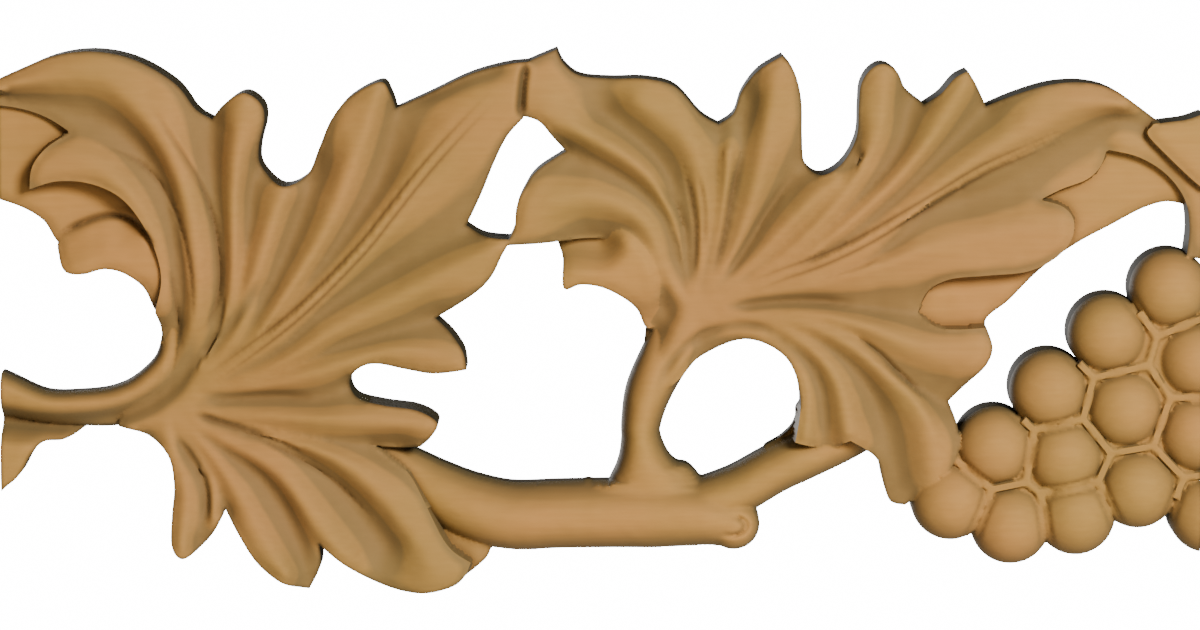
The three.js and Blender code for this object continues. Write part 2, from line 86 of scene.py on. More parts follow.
# Shape of the relief, in drawing units unless a name says otherwise
HEART_REACH = 190
HEART_FADE = 18              # distance along a crease over which it deepens from the heart
EDGE_WIDTH = 10
FLANK_WIDTH = 32
FOLD_REACH = 55
ROOT_REACH = 75
GROOVE_STEEPNESS = 0.7
LINE_DEPTH = 0.12            # millimetres that the fine line in each crease goes deeper
LINE_WIDTH = 2.6
MIDRIB_RISE = 0.15           # millimetres
MIDRIB_WIDTH = 2.6
MIDRIB_GROOVE_DEPTH = 0.8    # millimetres
MIDRIB_GROOVE_GAP = 5.2
GRAPE_BLEND = 0.1
BLEND = 0.7                  # millimetres of height over which forms flow into each other
GRAPE_RADIUS = 40
NEIGHBOUR_SPAN = 2.4         # grapes nearer than this many radii share a ridge
RIDGE_HALF_WIDTH = 3.0
RIDGE_FOOT = 4.7             # from the ridge's middle to its foot
RIDGE_GROOVE_DEPTH = 0.45    # millimetres
RIDGE_GROOVE_WIDTH = 2.0
RIDGE_SIDE = 0.9             # millimetres that a ridge's sides drop
MIDRIB_CLEARANCE = 13        # the facets follow no creases nearer to a midrib
HEART_CLEARANCE = 45         # the facets follow no creases nearer to a leaf's heart
KNOT_RING_CENTRE = (731, 525)
KNOT_RING_REACH = (15.0, 9.5)  # half its width and half its height
KNOT_RING_WIDTH = 0.24       # width of its groove as a share of its reach
KNOT_RING_DEPTH = 1.0        # millimetres
CHISEL_DEPTH = 0.1           # millimetres of unevenness left by the chisel
CHISEL_LENGTH = 11
CHISEL_CELLS = (140, 80)     # more than the drawing has, with a margin all round
CHISEL_MARGIN = 5

# The mesh, in drawing units
CELL = 2.3                   # spacing of its points
CURVE_STEPS = 6              # steps of a smooth curve between two given points
STEP_WIDTH = 0.6             # width in plan of a step between two forms
LONGEST_EDGE = 9.0           # a longer one would bridge a gap in the openwork
DRAWING_ROWS = (30, 610)     # the rows of the drawing that the carving stays within
CLEAR_SHARE = 0.55           # share of a cell that the mesh's points keep from a drawn line
MERGE_GAP = 1e-5             # points nearer than this are one
ON_EDGE = 0.05               # a point this near to an outline lies on it
SAME_HEIGHT = 0.05           # millimetres under another form that still count as level
TINY = 1e-9                  # keeps a division from a zero
NOTHING = -1000.0            # height where a form is absent
HOLLOW_STEPS = 220           # smoothing steps that tell hollows from crests
HOLLOW_DEPTH = 0.6           # millimetres under the smoothed surface that count as deep
CREVICE_STEPS = 10           # smoothing steps that find the foot of a step
CREVICE_DEPTH = 1.4          # millimetres
SAME_SURFACE = 0.8           # a greater drop between neighbouring points is a step
RIM_WIDTH = 3.5              # width of the dark rim of painted shade along the openwork's edges
SOFTENING_STEPS = 5          # smoothing steps that round the crests of leaves and lobes
# Shares of the painted shade in hollows and in crevices, by the start of the forms' names
PAINTED_SHADE_SHARES = {
    "grape": (0.15, 0.5), "plain": (0.35, 0.5), "limb": (0.25, 0.8), "knot": (0.25, 0.6),
}
LEAF_OLIVE_TINT = 0.22            # least share of the hollows' painted shade, laid evenly as an olive tint all over the leaves
GROOVE_SHADE_WIDTH = 2.0       # width of the brown line of painted shade in each midrib groove
FULL_SHADE_DEPTH = 0.8          # millimetres of a cut that take the whole painted shade
BROAD_CUT = 5.0              # a cut this wide or wider is a soft hollow, with painted shade and no line
SHARP_ANGLE = math.radians(62)
FRONT, SIDES, BACK = range(3)  # places of the materials on the mesh

# The leaves: a leaf's outline runs smoothly from corner to corner, one run at a time. Its
# ribs are crests and creases by turns, each from the heart outwards, and the number of the
# first crest is given.
LEFT_LEAF = {
    "heart": (165, 408),
    "stem_side": (-1.0, 0.1),
    "flank": [(162, 328), (158, 350), (145, 372), (118, 400), (100, 410)],
    "midrib": [(200, 385), (240, 357), (300, 310), (360, 250), (390, 213), (420, 175),
               (455, 135), (500, 88)],
    "start": (214, 118),
    "runs": [
        [(226, 103), (246, 91), (263, 101), (267, 118), (261, 145), (263, 165), (284, 184),
         (308, 174), (320, 148), (333, 118), (352, 95), (382, 80), (392, 92), (397, 107)],
        [(430, 92), (470, 73), (505, 63), (530, 60)],
        [(528, 88), (524, 116)],
        [(508, 134), (495, 160), (482, 192), (467, 224)],
        [(485, 234), (512, 237)],
        [(503, 252), (492, 274), (474, 292), (436, 317)],
        [(452, 332), (464, 350), (467, 367)],
        [(435, 371), (408, 367), (376, 361), (358, 367), (350, 381), (358, 396), (385, 403),
         (418, 408), (438, 420), (432, 434), (421, 445)],
        [(398, 447), (372, 444)],
        [(394, 460), (409, 472), (420, 490), (440, 531), (453, 549), (471, 561)],
        [(464, 576), (450, 586), (420, 592), (385, 585), (350, 567), (320, 543)],
        [(320, 566), (309, 589)],
        [(283, 582), (258, 562), (240, 535), (225, 508)],
        [(216, 528), (202, 545), (183, 558), (172, 545), (172, 515), (174, 485), (168, 456),
         (148, 436), (118, 427)],
        [(120, 398), (136, 384), (151, 366), (160, 346), (161, 328), (156, 311)],
        [(163, 280), (158, 250), (143, 218), (122, 194), (92, 181), (60, 179), (33, 187)],
        [(36, 165), (50, 146), (73, 131)],
        [(48, 116), (20, 107), (-20, 102)],
        [(-20, 88)],
        [(20, 70), (60, 54), (100, 50), (140, 59), (178, 82), (198, 108), (214, 118)],
    ],
    "first_crest": 0,
    "ribs": [
        [(160, 330), (156, 265), (132, 200), (95, 165), (45, 165)],
        [(178, 325), (180, 270), (166, 190), (128, 135), (80, 112), (0, 96)],
        [(192, 330), (198, 270), (184, 180), (150, 115), (95, 72), (-10, 88)],
        [(212, 340), (222, 295), (222, 240), (216, 190), (212, 150), (213, 126)],
        [(219, 340), (234, 280), (236, 200), (240, 150), (246, 98)],
        [(225, 340), (243, 275), (251, 220), (253, 190), (262, 165)],
        [(232, 340), (256, 275), (274, 220), (286, 188)],
        [(238, 345), (268, 295), (290, 245), (308, 195), (318, 162)],
        [(246, 348), (290, 290), (330, 222), (358, 150), (378, 90)],
        [(248, 347), (304, 286), (348, 230), (383, 172), (400, 112)],
        [(258, 348), (330, 285), (390, 215), (440, 150), (525, 85)],
        [(268, 358), (330, 305), (385, 268), (430, 244), (468, 228)],
        [(272, 365), (340, 325), (410, 290), (460, 265), (505, 243)],
        [(275, 372), (340, 345), (400, 328), (436, 317)],
        [(275, 380), (340, 362), (400, 348), (462, 360)],
        [(215, 402), (270, 398), (320, 397), (350, 386)],
        [(230, 413), (300, 415), (360, 418), (432, 421)],
        [(230, 422), (290, 431), (345, 441), (400, 446)],
        [(245, 428), (330, 452), (380, 490), (412, 530), (435, 572)],
        [(235, 431), (280, 441), (320, 470), (355, 506), (385, 545)],
        [(225, 440), (278, 470), (310, 510), (338, 552)],
        [(218, 445), (258, 475), (284, 510), (299, 545), (308, 578)],
        [(206, 448), (236, 490), (260, 535), (285, 572)],
        [(197, 450), (215, 478), (224, 505)],
        [(192, 452), (210, 484), (213, 518)],
        [(184, 450), (202, 480), (206, 506), (199, 538)],
        [(172, 455), (185, 490), (184, 520), (181, 550)],
    ],
}

MIDDLE_LEAF = {
    "heart": (690, 312),
    "stem_side": (-0.5, 0.87),
    "flank": [(647, 335), (644, 350), (636, 368)],
    "midrib": [(740, 290), (780, 273), (820, 258), (860, 239), (900, 216), (940, 192),
               (980, 168), (1020, 150), (1060, 133)],
    "start": (718, 123),
    "runs": [
        [(733, 112), (741, 90), (757, 69), (781, 54)],
        [(793, 70), (800, 98), (801, 135), (804, 162), (820, 173), (841, 161), (855, 135),
         (857, 105), (859, 83), (868, 68), (881, 62), (895, 70), (904, 88), (922, 103)],
        [(938, 92), (952, 76), (965, 69)],
        [(974, 84), (984, 105)],
        [(1015, 92), (1050, 82), (1085, 81), (1115, 91), (1157, 121), (1180, 138),
         (1225, 172)],
        [(1225, 260)],
        [(1184, 255)],
        [(1187, 225), (1182, 197), (1163, 172), (1135, 155), (1104, 148)],
        [(1098, 165), (1084, 178), (1060, 187), (1038, 198)],
        [(1060, 204), (1071, 218), (1068, 238), (1052, 256), (1025, 269), (985, 273),
         (948, 277), (926, 290), (917, 312)],
        [(940, 326), (985, 325)],
        [(991, 345), (984, 363), (966, 381), (948, 400)],
        [(957, 425), (957, 450), (940, 478), (905, 504)],
        [(890, 500), (883, 480), (878, 460), (866, 448), (850, 438)],
        [(825, 446), (795, 440)],
        [(800, 395), (785, 355), (745, 338), (700, 357), (680, 378), (660, 390), (640, 362)],
        [(644, 346), (646, 328)],
        [(654, 298), (645, 265), (625, 242), (590, 237), (545, 241), (507, 243)],
        [(515, 225), (517, 205), (524, 188), (537, 169), (566, 150)],
        [(553, 135), (539, 119), (518, 113)],
        [(520, 85), (524, 62)],
        [(540, 55), (557, 48)],
        [(564, 62), (580, 74), (610, 77), (645, 77), (675, 85), (700, 112), (718, 123)],
    ],
    "first_crest": 1,
    "ribs": [
        [(652, 285), (648, 262), (628, 242), (590, 238)],
        [(664, 268), (642, 218), (590, 195), (528, 208)],
        [(680, 262), (664, 215), (628, 180), (566, 150)],
        [(685, 262), (670, 205), (630, 158), (548, 112)],
        [(692, 262), (682, 215), (660, 160), (605, 112)],
        [(700, 258), (704, 200), (688, 140), (640, 98)],
        [(708, 262), (716, 205), (719, 130)],
        [(714, 262), (723, 215), (727, 150)],
        [(720, 262), (731, 210), (740, 150), (746, 98)],
        [(728, 260), (756, 180), (776, 72)],
        [(738, 262), (768, 212), (800, 166)],
        [(750, 262), (798, 212), (835, 180)],
        [(760, 264), (812, 212), (858, 155)],
        [(770, 264), (840, 195), (874, 130), (880, 72)],
        [(776, 266), (850, 205), (896, 148), (908, 100)],
        [(784, 268), (868, 202), (925, 140), (962, 76)],
        [(790, 270), (880, 207), (940, 150), (982, 108)],
        [(800, 272), (890, 222), (970, 160), (1060, 105), (1120, 102)],
        [(860, 262), (930, 210), (1010, 182), (1080, 140), (1125, 118),
         (1200, 160)],
        [(850, 270), (930, 245), (1000, 232), (1058, 226)],
        [(780, 298), (850, 304), (915, 310)],
        [(790, 312), (860, 322), (920, 345), (972, 352)],
        [(800, 315), (855, 333), (900, 371), (948, 405)],
        [(790, 320), (850, 342), (895, 380), (924, 414), (934, 470)],
        [(780, 322), (828, 345), (862, 378), (884, 425), (894, 485)],
        [(770, 325), (812, 348), (836, 380), (848, 432)],
        [(762, 328), (800, 352), (820, 385), (826, 440)],
        [(755, 332), (787, 354), (804, 390), (802, 436)],
    ],
}

# Lobes and strips with one height. A lobe that turns back is lowest along its fold, and
# one with a root dips there to meet the leaf's stem.
PLAIN_PARTS = [
    {   # lobe turned back under the left leaf
        "height": UNDER_LOBE_HEIGHT,
        "fold": [(58, 240), (78, 226), (104, 216), (120, 217)],
        "fold_height": 9.5,
        "fold_reach": 42,
        "root": (164, 328),
        "outline": [(62, 236), (60, 255), (67, 271), (85, 273), (105, 268), (125, 272),
                    (145, 287), (156, 311), (168, 308), (172, 260), (140, 212), (100, 214)],
    },
    {   # lobe turned back under the middle leaf
        "height": UNDER_LOBE_HEIGHT,
        "fold": [(560, 240), (578, 240), (598, 241)],
        "fold_reach": 34,
        "root": (652, 322),
        "outline": [(560, 228), (563, 258), (564, 287), (581, 283), (602, 286), (622, 296),
                    (637, 309), (646, 328), (656, 320), (657, 268), (622, 228)],
    },
    {   # strip under the left leaf's curl
        "height": STRIP_HEIGHT,
        "outline": [(-20, 90), (110, 120), (170, 190), (170, 240), (125, 214), (98, 218),
                    (78, 228), (60, 242), (45, 221), (25, 208), (0, 199), (-20, 193)],
    },
    {   # strip between the middle leaf and the grapes
        "height": STRIP_HEIGHT,
        "outline": [(1200, 165), (1195, 208), (1180, 203), (1163, 201), (1140, 208),
                    (1110, 224), (1075, 243), (1038, 270), (1008, 300), (985, 320),
                    (990, 345), (950, 350), (900, 320), (930, 250), (1040, 180),
                    (1100, 130), (1160, 140)],
    },
    {   # lobe at the left end, under the stem
        "height": SIDE_LOBE_HEIGHT,
        "fold": [(-20, 421), (30, 425), (62, 426), (88, 419)],
        "fold_height": 5.0,
        "fold_reach": 24,
        "outline": [(-20, 415), (88, 418), (80, 431), (62, 441), (42, 443), (30, 455),
                    (20, 473), (8, 485), (-20, 500)],
    },
    {   # leaf that runs on at the right end
        "height": NEXT_LEAF_HEIGHT,
        "outline": [(1148, 124), (1157, 121), (1180, 118), (1225, 113), (1225, 200),
                    (1150, 140)],
    },
    {   # tip of the left leaf's lowest lobe, which turns back under it
        "height": TIP_HEIGHT,
        "outline": [(438, 530), (462, 535), (482, 539), (490, 548), (487, 558), (478, 567),
                    (464, 577), (446, 577)],
    },
    {   # web in the corner between the middle leaf and the fork
        "height": WEB_HEIGHT,
        "outline": [(808, 402), (797, 409), (796, 420), (791, 430), (780, 440), (764, 451),
                    (785, 458), (815, 445)],
    },
]

# Stems: centre line, half widths, and the crest's height as shares of the stem's height.
# A stem that leans has its crest off the centre line, by this share of its half width.
LIMBS = [
    {   # main branch, which comes out from under the left leaf
        "height": BRANCH_HEIGHT,
        "line": [(360, 451), (405, 477), (435, 494), (470, 510), (510, 519), (560, 518),
                 (610, 517), (660, 517), (705, 518), (735, 524)],
        "half_widths": [22, 27, 30, 33, 34, 34, 34, 34, 31, 27],
        "shares": [0.7, 0.75, 0.85, 0.95, 1, 1, 1, 1, 1, 0.9],
    },
    {   # fork that rises behind the middle leaf
        "height": FORK_HEIGHT,
        "line": [(690, 514), (737, 494), (774, 473), (808, 457), (845, 440), (872, 426)],
        "half_widths": [28, 25, 24, 24, 23, 21],
        "shares": [1, 1, 1, 1, 0.9, 0.85],
    },
    {   # stem of the middle leaf
        "height": STEM_HEIGHT,
        "line": [(647, 497), (647, 488), (647, 480), (645, 471), (643, 458), (641, 440),
                 (641, 425), (648, 395), (664, 362), (685, 330)],
        "half_widths": [94, 70, 49, 34, 25, 20, 20, 23, 25, 29],
        "shares": [1, 1, 1, 1, 1, 1, 1, 1, 0.85, 0.55],
    },
    {   # stem at the left end, up into the left leaf
        "height": TENDRIL_HEIGHT,
        "line": [(-30, 385), (0, 396), (40, 409), (80, 411), (116, 408), (147, 395),
                 (173, 364), (181, 322)],
        "half_widths": [22, 21, 17, 18, 20, 22, 20, 18],
        "shares": [1, 1, 1, 1, 1, 1, 1, 0.9],
        "lean": 0.35,
    },
]

KNOT_CENTRE = (734, 525)
KNOT_RADIUS = 26
GRAPE_CENTRES = [
    (1168, 288), (1107, 333), (1196, 358), (1049, 389), (1124, 407), (1197, 432), (995, 446),
    (1064, 456), (1138, 488), (951, 500), (1011, 524), (1076, 515), (1209, 513),
]
GRAPE_BED = [
    (952, 497), (950, 451), (998, 444), (1050, 388), (1106, 333), (1168, 287), (1225, 250),
    (1225, 515), (1140, 483), (1078, 508), (1012, 520),
]

# Fine cuts and soft hollows over the forms: line, depth in millimetres, and width
CUTS = [
    ([(527, 58), (523, 88), (521, 118)], 1.6, 4.0),
    ([(150, 98), (185, 150), (204, 185), (216, 222), (221, 260), (220, 290),
      (212, 315), (196, 345)], 0.5, 2.6),
    ([(172, 265), (176, 300), (181, 340)], 0.35, 2.2),
    ([(98, 140), (140, 160), (168, 191), (185, 230), (193, 275), (196, 325)], 0.35, 2.2),
    ([(52, 241), (66, 231), (84, 222), (108, 215), (132, 219), (150, 236),
      (158, 256)], 0.9, 3.0),
    ([(398, 116), (412, 100), (436, 92), (475, 76), (522, 64)], 1.2, 9.0),
    ([(-110, 400), (-40, 414), (20, 422), (70, 424), (115, 418), (150, 404),
      (176, 382), (190, 352), (196, 310)], 1.9, 10.0),
    ([(172, 436), (190, 456), (206, 484), (206, 530)], 0.8, 5.0),
    ([(190, 412), (215, 420), (240, 427), (276, 436)], 0.7, 4.0),
    ([(190, 392), (215, 396), (270, 395), (320, 397)], 0.7, 6.0),
    ([(200, 366), (222, 334), (247, 303), (268, 270)], 0.8, 7.0),
    ([(245, 432), (320, 470), (375, 520)], 0.35, 2.2),
    ([(655, 170), (674, 205), (684, 236), (690, 290)], 0.8, 5.0),
    ([(684, 165), (692, 200), (696, 233), (694, 280)], 0.5, 3.0),
    ([(698, 170), (704, 205), (705, 250)], 0.4, 2.6),
    ([(740, 150), (730, 195), (722, 240), (712, 276)], 0.6, 4.0),
    ([(795, 170), (768, 208), (742, 250), (722, 282)], 0.7, 5.0),
    ([(860, 302), (820, 300), (770, 302), (722, 308)], 0.8, 6.0),
    ([(790, 336), (759, 325), (722, 327), (690, 342), (668, 366), (656, 396)], 0.7, 5.0),
    ([(853, 331), (879, 351), (899, 371), (925, 394)], 0.5, 2.4),
]
THIN_CUTS = [(line, depth, width) for line, depth, width in CUTS if width < BROAD_CUT]
BROAD_CUTS = [(line, depth, width) for line, depth, width in CUTS if width >= BROAD_CUT]


# Lines and outlines

def smooth_step(share):
    share = np.clip(share, 0, 1)
    return share * share * (3 - 2 * share)


def fading(place, start=0.25, end=0.25):
    """1 along a line, and 0 at its two ends, given the shares of it that fade."""
    return smooth_step(place / start) * smooth_step((1 - place) / end)


def ridge(across):
    """Round profile of a ridge or groove: 1 on its line, and little from 2 widths out."""
    return np.exp(-(across**2))


def spline_piece(before, start, end, after):
    """Points from start towards end on a smooth curve through four points."""
    t = np.linspace(0, 1, CURVE_STEPS, endpoint=False)[:, None]
    leave, arrive = (end - before) / 2, (after - start) / 2
    return ((2 * start - 2 * end + leave + arrive) * t**3
            + (3 * end - 3 * start - 2 * leave - arrive) * t**2 + leave * t + start)


def spline(points):
    return [spline_piece(*points[i:i + 4]) for i in range(len(points) - 3)]


def smooth_line(points):
    points = np.asarray(points, float)
    return np.vstack([*spline([points[0], *points, points[-1]]), points[-1:]])


def smooth_loop(points):
    points = np.asarray(points, float)
    return np.vstack(spline([points[-1], *points, *points[:2]]))


def distances(points, place):
    return np.hypot(*(points - np.array(place, float)).T)


def lengths_along(line):
    """Length of a line up to each of its points."""
    return np.concatenate([[0], np.cumsum(np.hypot(*np.diff(line, axis=0).T))])


def even_line(line):
    """The same line with its points about a cell apart, its two ends kept."""
    along = lengths_along(line)
    places = np.linspace(0, along[-1], max(round(along[-1] / CELL), 1) + 1)
    return np.column_stack([np.interp(places, along, line[:, axis]) for axis in (0, 1)])


def corner_loop(start, runs):
    """A closed outline that runs smoothly from corner to corner."""
    pieces = []
    for run in runs:
        pieces.append(even_line(smooth_line([start, *run]))[:-1])
        start = run[-1]
    return np.vstack(pieces)


def even_loop(loop):
    return even_line(np.vstack([loop, loop[:1]]))[:-1]


def line_gap(points, line):
    """Distance from each point to a line, and the share of the line's length there."""
    nearest = np.full(len(points), np.inf)
    place = np.zeros(len(points))
    starts = lengths_along(line)
    for i, length in enumerate(np.hypot(*np.diff(line, axis=0).T)):
        span = line[i + 1] - line[i]
        share = np.clip(((points - line[i]) @ span) / max(length**2, TINY), 0, 1)
        gap = np.hypot(*(points - line[i] - share[:, None] * span).T)
        closer = gap < nearest
        nearest[closer] = gap[closer]
        place[closer] = (starts[i] + share[closer] * length) / starts[-1]
    return nearest, place


def loop_gap(points, loop):
    return line_gap(points, np.vstack([loop, loop[:1]]))[0]


def enclosed(points, starts, ends):
    """True for each point that edges, given by their ends in any order, go round."""
    x, y = points.T
    result = np.zeros(len(points), bool)
    for (x1, y1), (x2, y2) in zip(starts, ends):
        if y1 != y2:
            crosses = (y1 > y) != (y2 > y)
            result ^= crosses & (x < (x2 - x1) * (y - y1) / (y2 - y1) + x1)
    return result


def inside(points, loop):
    return enclosed(points, loop, np.roll(loop, 1, axis=0))


def held_by(forms, points):
    """True for each point inside at least one of the forms."""
    held = np.zeros(len(points), bool)
    for form in forms:
        held |= inside(points, form.loop)
    return held


# Forms of the carving

class Form:
    """An outline in the drawing, and the height of the surface inside it."""

    def __init__(self, loop, relief, blend=BLEND):
        self.loop = loop
        self.relief = relief
        self.blend = blend

    def heights(self, points):
        result = np.full(len(points), NOTHING)
        low, high = self.loop.min(0) - ON_EDGE, self.loop.max(0) + ON_EDGE
        near = np.flatnonzero(((points > low) & (points < high)).all(1))
        edge = loop_gap(points[near], self.loop)
        held = inside(points[near], self.loop) | (edge < ON_EDGE)
        result[near[held]] = self.relief(points[near[held]], edge[held])
        return result


def rounded_fall(gap, width, fall):
    """How far a surface has rounded down, a given distance in from an edge."""
    return fall * (1 - np.clip(gap / width, 0, 1)) ** 2


def leaf_form(leaf):
    """Leaf: it climbs from its heart to its crests, with creases sunk between them."""
    heart = np.array(leaf["heart"], float)
    stem_side = np.array(leaf["stem_side"]) / np.hypot(*leaf["stem_side"])
    flank = smooth_line(leaf["flank"])
    midrib = smooth_line(leaf["midrib"])
    ribs = [smooth_line([leaf["heart"], *line]) for line in leaf["ribs"]]
    lengths = [lengths_along(rib)[-1] for rib in ribs]
    crests = [i % 2 == leaf["first_crest"] for i in range(len(ribs))]

    def relief(points, edge):
        gaps = [line_gap(points, rib) for rib in ribs]
        crest_gaps = [gap if is_crest else np.full(len(points), np.inf)
                      for (gap, place), is_crest in zip(gaps, crests)]
        nearest_crest = np.argmin(crest_gaps, axis=0)
        sunk = np.zeros(len(points))
        for i, is_crest in enumerate(crests):
            if not is_crest:
                beside = [j for j in (i - 1, i + 1) if 0 <= j < len(ribs)]
                gap, place = gaps[i]
                crest = np.min([crest_gaps[j] for j in beside], axis=0)
                spread = crest + gap
                if len(beside) == 2:
                    spread = (crest_gaps[beside[0]] + crest_gaps[beside[1]]) / 2
                depth = np.minimum(LEAF_GROOVE_DEPTH, GROOVE_STEEPNESS * UNIT_MM * spread)
                depth = depth * smooth_step(place * lengths[i] / HEART_FADE)
                hollow = depth * smooth_step(crest / (crest + gap + TINY))
                line = LINE_DEPTH * fading(place, 0.3, 0.3) * ridge(gap / LINE_WIDTH)
                own = np.isin(nearest_crest, beside)
                sunk = np.where(own, np.maximum(sunk, hollow + line), sunk)
        away = points - heart
        behind = np.maximum(away @ stem_side, 0)
        reach = np.sqrt(np.maximum((away**2).sum(axis=1) - behind**2, 0))
        climb = smooth_step(reach / HEART_REACH)
        height = LEAF_HEART_HEIGHT + (LEAF_CREST_HEIGHT - LEAF_HEART_HEIGHT) * climb
        gap, place = line_gap(points, midrib)
        rise = MIDRIB_RISE * ridge(gap / MIDRIB_WIDTH)
        groove = MIDRIB_GROOVE_DEPTH * ridge((gap - MIDRIB_GROOVE_GAP) / MIDRIB_WIDTH)
        flank_gap = line_gap(points, flank)[0]
        falls = rounded_fall(flank_gap, FLANK_WIDTH, FLANK_FALL)
        return (height - sunk + fading(place, 0.2) * (rise - groove) - falls
                - rounded_fall(edge, EDGE_WIDTH, EDGE_FALL))

    return Form(corner_loop(leaf["start"], leaf["runs"]), relief)


def plain_form(part):
    """Plain lobe or strip, rounded at its edge and lowest along its fold."""
    fold = smooth_line(part["fold"]) if "fold" in part else None
    fold_height = part.get("fold_height", FOLD_HEIGHT)
    fold_reach = part.get("fold_reach", FOLD_REACH)

    def relief(points, edge):
        level = np.full(len(points), part["height"])
        if fold is not None:
            rise = smooth_step(line_gap(points, fold)[0] / fold_reach)
            level = fold_height + (part["height"] - fold_height) * rise
        if "root" in part:
            level = level - rounded_fall(distances(points, part["root"]), ROOT_REACH, ROOT_FALL)
        return level - rounded_fall(edge, EDGE_WIDTH, EDGE_FALL)

    return Form(even_loop(smooth_loop(part["outline"])), relief)


def limb_form(limb):
    """Stem: a round top on straight sides, of changing width."""
    line = smooth_line(limb["line"])
    sizes = smooth_line(list(zip(limb["half_widths"], limb["shares"])))
    half_widths, tops = sizes[:, 0], sizes[:, 1] * limb["height"]
    heading = np.gradient(line, axis=0)
    heading /= np.hypot(*heading.T)[:, None]
    side = np.column_stack([-heading[:, 1], heading[:, 0]]) * half_widths[:, None]
    outline = np.vstack([line + side, (line - side)[::-1]])
    places = np.linspace(0, 1, len(line))
    starts = lengths_along(line) / lengths_along(line)[-1]

    def relief(points, edge):
        gap, place = line_gap(points, line)
        step = np.interp(place, starts, places)
        half = np.interp(step, places, half_widths)
        top = np.interp(step, places, tops)
        piece = np.clip(np.searchsorted(starts, place) - 1, 0, len(line) - 2)
        span, away = line[piece + 1] - line[piece], points - line[piece]
        above = span[:, 1] * away[:, 0] >= span[:, 0] * away[:, 1]
        across = np.where(above, gap, -gap) / half
        lean = limb.get("lean", 0.0)
        from_crest = np.abs(across - lean) / np.where(across > lean, 1 - lean, 1 + lean)
        round_share = np.sqrt(np.clip(1 - from_crest**2, 0, 1))
        return SHOULDER_HEIGHT + (top - SHOULDER_HEIGHT) * round_share

    return Form(even_loop(outline), relief)


def circle(centre, radius):
    angles = np.linspace(0, 2 * math.pi, round(2 * math.pi * radius / CELL), endpoint=False)
    return np.array(centre) + radius * np.column_stack([np.cos(angles), np.sin(angles)])


def dome(gap, radius, level):
    """Height of a ball's top over a point at this distance from its centre."""
    return level + UNIT_MM * np.sqrt(np.clip(radius**2 - gap**2, 0, None))


def knot_form():
    """Cut-off end of the branch: a round knob with one ring on it."""

    def relief(points, edge):
        ball = dome(distances(points, KNOT_CENTRE), KNOT_RADIUS,
                    KNOT_HEIGHT - KNOT_RADIUS * UNIT_MM)
        oval = np.hypot(*((points - KNOT_RING_CENTRE) / KNOT_RING_REACH).T)
        return ball - KNOT_RING_DEPTH * ridge((oval - 1) / KNOT_RING_WIDTH)

    return Form(circle(KNOT_CENTRE, KNOT_RADIUS), relief)


def nearest_grapes(points):
    """Distances to the middles of the nearest two grapes."""
    return np.sort([distances(points, centre) for centre in GRAPE_CENTRES], axis=0)[:2]


def grape_ridges(points):
    """Height of the narrow ridges between grapes, and the distance to their middles."""
    nearest, second = nearest_grapes(points)
    from_ridge = (second - nearest) / 2
    slope = np.clip((from_ridge - RIDGE_HALF_WIDTH) / (RIDGE_FOOT - RIDGE_HALF_WIDTH), 0, 1)
    return GRAPE_RIDGE_HEIGHT - RIDGE_SIDE * slope, from_ridge


def bed_form():
    return Form(even_loop(np.array(GRAPE_BED, float)),
                lambda points, edge: grape_ridges(points)[0], blend=GRAPE_BLEND)


def grape_form(centre):
    def relief(points, edge):
        ball = dome(distances(points, centre), GRAPE_RADIUS, GRAPE_CENTRE_HEIGHT)
        from_ridge = grape_ridges(points)[1]
        return ball - RIDGE_GROOVE_DEPTH * ridge((from_ridge - RIDGE_FOOT) / RIDGE_GROOVE_WIDTH)

    return Form(circle(centre, GRAPE_RADIUS), relief, blend=GRAPE_BLEND)


def chisel_marks(points, seed=11):
    """Gentle unevenness, between -1 and 1, over cells of the chisel's length."""
    draws = np.random.default_rng(seed).uniform(-1, 1, CHISEL_CELLS)
    x, y = (points / CHISEL_LENGTH + CHISEL_MARGIN).T
    column, row = np.floor(x).astype(int), np.floor(y).astype(int)
    across, down = smooth_step(x - column), smooth_step(y - row)
    upper = draws[column, row] * (1 - across) + draws[column + 1, row] * across
    lower = draws[column, row + 1] * (1 - across) + draws[column + 1, row + 1] * across
    return upper * (1 - down) + lower * down


def flow_together(one, other, blend):
    """The higher of two heights, with a soft corner where they meet."""
    both = (one > 0) & (other > 0)
    corner = np.where(both, np.maximum(blend - np.abs(one - other), 0) ** 2 / (4 * blend), 0)
    return np.maximum(one, other) + corner


def joined_heights(points, forms):
    """Heights of the highest forms, and the number of the form that is highest."""
    height = np.full(len(points), NOTHING)
    highest = np.full(len(points), NOTHING)
    number = np.zeros(len(points), int)
    for i, form in enumerate(forms):
        own = form.heights(points)
        number[own > highest] = i
        highest = np.maximum(highest, own)
        height = flow_together(height, own, form.blend)
    return height, number


def cut_depth(points, cuts):
    """Depth of the cuts over each point, in millimetres."""
    total = np.zeros(len(points))
    for line, depth, width in cuts:
        gap, place = line_gap(points, smooth_line(line))
        total += depth * fading(place) * ridge(gap / width)
    return total


def groove_shade(points):
    """Painted shade: 1 in the thin cuts and the midribs' grooves, and 0 elsewhere."""
    painted_shade = np.clip(cut_depth(points, THIN_CUTS) / FULL_SHADE_DEPTH, 0, 1)
    for leaf in (LEFT_LEAF, MIDDLE_LEAF):
        gap, place = line_gap(points, smooth_line(leaf["midrib"]))
        groove = ridge((gap - MIDRIB_GROOVE_GAP) / GROOVE_SHADE_WIDTH)
        painted_shade = np.maximum(painted_shade, fading(place) * groove)
    return painted_shade


# The mesh

